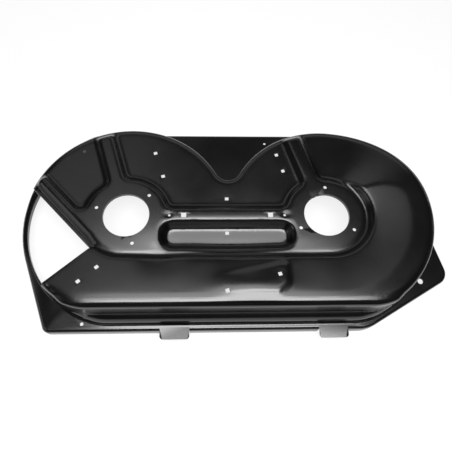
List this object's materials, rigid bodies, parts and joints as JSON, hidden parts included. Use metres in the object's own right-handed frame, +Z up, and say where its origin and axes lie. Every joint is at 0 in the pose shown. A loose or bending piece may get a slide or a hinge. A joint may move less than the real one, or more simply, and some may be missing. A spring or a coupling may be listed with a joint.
{
  "type": "lawn mower deck shell",
  "caption": "Black pressed-steel twin-blade mower deck shell with a side discharge tunnel, flanged lip, spindle flats and a radial bead on each lobe.",
  "frame": {"origin": "centre of the footprint, on the ground under the lip", "axes": "+X to the side away from the discharge opening, +Y to the rear, +Z up"},
  "size_m": [1.0847, 0.568, 0.144],
  "materials": {
    "black_coat": "semi-gloss black coating"
  },
  "bodies": {
    "root": {"deck_shell": "black_coat"}
  },
  "joints": []
}
